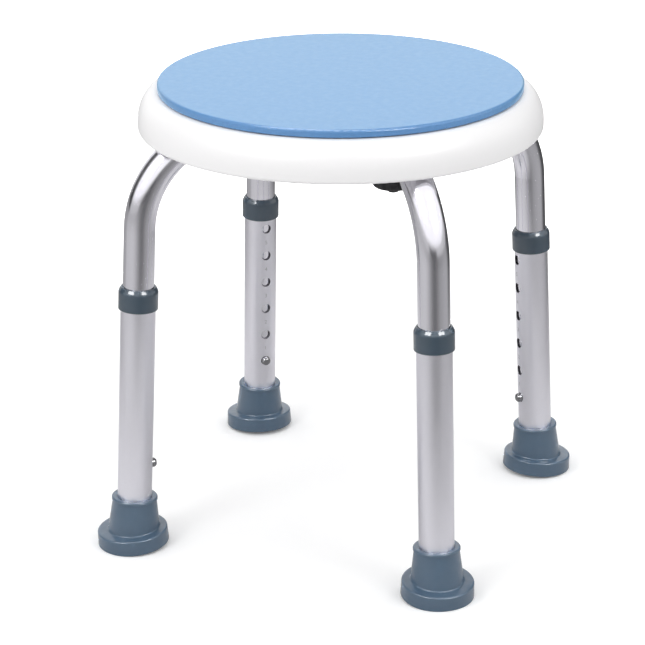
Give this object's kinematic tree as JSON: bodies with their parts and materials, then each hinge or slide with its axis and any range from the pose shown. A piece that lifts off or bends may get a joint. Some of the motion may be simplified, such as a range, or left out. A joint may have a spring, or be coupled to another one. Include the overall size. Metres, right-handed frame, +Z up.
{
  "type": "shower stool",
  "caption": "Round shower stool with a turning top on a moulded seat, two bent tubes crossing beneath it, and telescopic legs with snap buttons and rubber feet.",
  "frame": {"origin": "on the floor, on the axis that the top turns about, which is the middle of the four legs", "axes": "+Z up; the legs stand on the diagonals, leg 1 towards +X -Y, then anticlockwise seen from above"},
  "size_m": [0.3246, 0.3246, 0.372],
  "materials": {
    "seat_white": "smooth moulded, semi-gloss",
    "pad_blue": "fine grain, satin",
    "turntable_white": "moulded",
    "acetal": "smooth, natural",
    "tube_aluminium": "satin anodised",
    "collar_slate": "moulded, semi-gloss",
    "foot_rubber": "moulded rubber, slight sheen",
    "knob_black": "moulded",
    "plated_steel": "bright zinc",
    "insert_brass": "turned"
  },
  "bodies": {
    "seat_frame": {"seat_base": "seat_white", "frame_tube_over": "tube_aluminium", "frame_tube_under": "tube_aluminium", "pivot_bush": "acetal", "glide_ring": "acetal", "tube_saddles": "knob_black", "knob_inserts": "insert_brass", "snap_spring_1": "plated_steel", "snap_spring_2": "plated_steel", "snap_spring_3": "plated_steel", "snap_spring_4": "plated_steel"},
    "turning_top": {"swivel_pad": "pad_blue", "turntable": "turntable_white", "retaining_washer": "plated_steel", "retaining_screw": "plated_steel"},
    "leg_1": {"lower_leg_1": "tube_aluminium", "leg_collar_1": "collar_slate", "foot_1": "foot_rubber", "foot_washer_1": "plated_steel"},
    "button_1": {"snap_button_1": "plated_steel"},
    "knob_1": {"clamp_knob_1": "knob_black", "knob_stud_1": "plated_steel"},
    "leg_2": {"lower_leg_2": "tube_aluminium", "leg_collar_2": "collar_slate", "foot_2": "foot_rubber", "foot_washer_2": "plated_steel"},
    "button_2": {"snap_button_2": "plated_steel"},
    "knob_2": {"clamp_knob_2": "knob_black", "knob_stud_2": "plated_steel"},
    "leg_3": {"lower_leg_3": "tube_aluminium", "leg_collar_3": "collar_slate", "foot_3": "foot_rubber", "foot_washer_3": "plated_steel"},
    "button_3": {"snap_button_3": "plated_steel"},
    "knob_3": {"clamp_knob_3": "knob_black", "knob_stud_3": "plated_steel"},
    "leg_4": {"lower_leg_4": "tube_aluminium", "leg_collar_4": "collar_slate", "foot_4": "foot_rubber", "foot_washer_4": "plated_steel"},
    "button_4": {"snap_button_4": "plated_steel"},
    "knob_4": {"clamp_knob_4": "knob_black", "knob_stud_4": "plated_steel"}
  },
  "joints": [
    {"name": "top_turn", "type": "hinge", "parent": "seat_frame", "child": "turning_top", "pos_m": [0, 0, 0.362], "axis": [0, 0, 1], "continuous": true},
    {"name": "leg_1_slide", "type": "slide", "parent": "seat_frame", "child": "leg_1", "axis": [0.0364, -0.0364, -0.9987], "range_m": [0, 0.127], "deforming": ["snap_button_1"]},
    {"name": "button_1_press", "type": "slide", "parent": "seat_frame", "child": "button_1", "axis": [0.7062, -0.7062, 0.0515], "range_m": [0, 0.0052], "stiffness_N_per_m": 900, "springref_m": -0.002, "deforming": ["snap_spring_1"]},
    {"name": "knob_1_turn", "type": "hinge", "parent": "seat_frame", "child": "knob_1", "pos_m": [0.07122, -0.07122, 0.315], "axis": [0, 0, 1], "continuous": true},
    {"name": "leg_2_slide", "type": "slide", "parent": "seat_frame", "child": "leg_2", "axis": [0.0364, 0.0364, -0.9987], "range_m": [0, 0.127], "deforming": ["snap_button_2"]},
    {"name": "button_2_press", "type": "slide", "parent": "seat_frame", "child": "button_2", "axis": [0.7062, 0.7062, 0.0515], "range_m": [0, 0.0052], "stiffness_N_per_m": 900, "springref_m": -0.002, "deforming": ["snap_spring_2"]},
    {"name": "knob_2_turn", "type": "hinge", "parent": "seat_frame", "child": "knob_2", "pos_m": [0.07122, 0.07122, 0.315], "axis": [0, 0, 1], "continuous": true},
    {"name": "leg_3_slide", "type": "slide", "parent": "seat_frame", "child": "leg_3", "axis": [-0.0364, 0.0364, -0.9987], "range_m": [0, 0.127], "deforming": ["snap_button_3"]},
    {"name": "button_3_press", "type": "slide", "parent": "seat_frame", "child": "button_3", "axis": [-0.7062, 0.7062, 0.0515], "range_m": [0, 0.0052], "stiffness_N_per_m": 900, "springref_m": -0.002, "deforming": ["snap_spring_3"]},
    {"name": "knob_3_turn", "type": "hinge", "parent": "seat_frame", "child": "knob_3", "pos_m": [-0.07122, 0.07122, 0.315], "axis": [0, 0, 1], "continuous": true},
    {"name": "leg_4_slide", "type": "slide", "parent": "seat_frame", "child": "leg_4", "axis": [-0.0364, -0.0364, -0.9987], "range_m": [0, 0.127], "deforming": ["snap_button_4"]},
    {"name": "button_4_press", "type": "slide", "parent": "seat_frame", "child": "button_4", "axis": [-0.7062, -0.7062, 0.0515], "range_m": [0, 0.0052], "stiffness_N_per_m": 900, "springref_m": -0.002, "deforming": ["snap_spring_4"]},
    {"name": "knob_4_turn", "type": "hinge", "parent": "seat_frame", "child": "knob_4", "pos_m": [-0.07122, -0.07122, 0.315], "axis": [0, 0, 1], "continuous": true}
  ]
}
